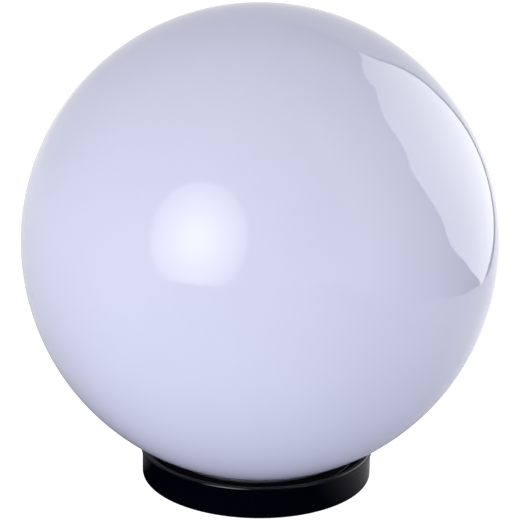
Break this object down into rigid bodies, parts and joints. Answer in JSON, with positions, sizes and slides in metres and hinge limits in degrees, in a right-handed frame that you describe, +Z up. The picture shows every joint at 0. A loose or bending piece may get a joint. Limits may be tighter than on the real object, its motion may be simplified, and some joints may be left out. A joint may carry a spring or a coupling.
{
  "type": "globe light",
  "caption": "Ball light for a porch, pillar or post: an opal globe on a low round base, locked by a bayonet, over a screw-in LED lamp in a porcelain lampholder.",
  "frame": {"origin": "centre of the base's foot, on the surface it stands on", "axes": "+Z up along the lamp's axis, -Y to the front, +X towards the terminal block"},
  "size_m": [0.25, 0.25, 0.2555],
  "materials": {
    "opal_acrylic": "polished opal",
    "silicone_rubber": "matt",
    "black_plastic": "gloss black",
    "black_rubber": "matt",
    "terminal_polyamide": "satin, natural",
    "brass": "bright, machined",
    "zinc_steel": "zinc plated",
    "porcelain": "glazed white",
    "nickel_brass": "nickel plated, drawn",
    "bronze": "rolled spring strip",
    "brown_insulation": "satin",
    "blue_insulation": "satin",
    "solder": "dull, rounded",
    "black_glass": "glossy black",
    "white_polycarbonate": "satin, moulded",
    "pressed_aluminium": "pressed sheet",
    "white_solder_mask": "coated aluminium board",
    "phosphor": "yellow resin",
    "green_board": "glass laminate with solder mask",
    "capacitor_sleeve": "shrunk sleeve",
    "enamelled_copper": "wound wire",
    "chip_resin": "moulded resin",
    "red_insulation": "satin",
    "frosted_polycarbonate": "frosted, translucent"
  },
  "bodies": {
    "base": {"base_shell": "black_plastic", "base_gasket": "black_rubber", "cable_grommet": "black_rubber", "terminal_block": "terminal_polyamide", "terminal_block_clamps": "brass", "terminal_block_screws": "zinc_steel", "terminal_block_fixing_screw": "zinc_steel", "lampholder_body": "porcelain", "lampholder_shell": "brass", "lampholder_terminals": "brass", "lampholder_terminal_screws": "zinc_steel", "lampholder_fixing_screws": "zinc_steel", "contact_foot": "bronze", "live_lead": "brown_insulation", "neutral_lead": "blue_insulation"},
    "seal": {"neck_seal": "silicone_rubber"},
    "globe": {"globe": "opal_acrylic"},
    "lamp_tip": {"lamp_tip": "solder"},
    "lamp": {"lamp_cap": "nickel_brass", "lamp_insulator": "black_glass", "lamp_housing": "white_polycarbonate", "lamp_heat_sink": "pressed_aluminium", "lamp_led_board": "white_solder_mask", "lamp_leds": "phosphor", "lamp_driver_board": "green_board", "lamp_capacitor": "capacitor_sleeve", "lamp_coil": "enamelled_copper", "lamp_chips": "chip_resin", "lamp_inner_leads": "red_insulation", "lamp_bulb": "frosted_polycarbonate"},
    "contact": {"contact_tongue": "bronze"}
  },
  "joints": [
    {"name": "globe_lift", "type": "slide", "parent": "base", "child": "seal", "axis": [0, 0, 1], "range_m": [0, 0.17]},
    {"name": "globe_turn", "type": "hinge", "parent": "seal", "child": "globe", "pos_m": [0, 0, 0.13], "axis": [0, 0, 1], "range_deg": [-30, 0]},
    {"name": "lamp_rise", "type": "slide", "parent": "base", "child": "lamp_tip", "axis": [0, 0, 1], "range_m": [0, 0.0164]},
    {"name": "lamp_turn", "type": "hinge", "parent": "lamp_tip", "child": "lamp", "pos_m": [0, 0, 0.04], "axis": [0, 0, 1], "range_deg": [0, 1620]},
    {"name": "contact_flex", "type": "hinge", "parent": "base", "child": "contact", "pos_m": [0.00706, -0.00636, 0.0191], "axis": [-0.6691, -0.7431, 0], "range_deg": [0, 6], "stiffness_Nm_per_rad": 0.3}
  ],
  "couplings": [
    {"joint": "lamp_rise", "follows": "lamp_turn", "m_per_rad": 0.00057773}
  ]
}
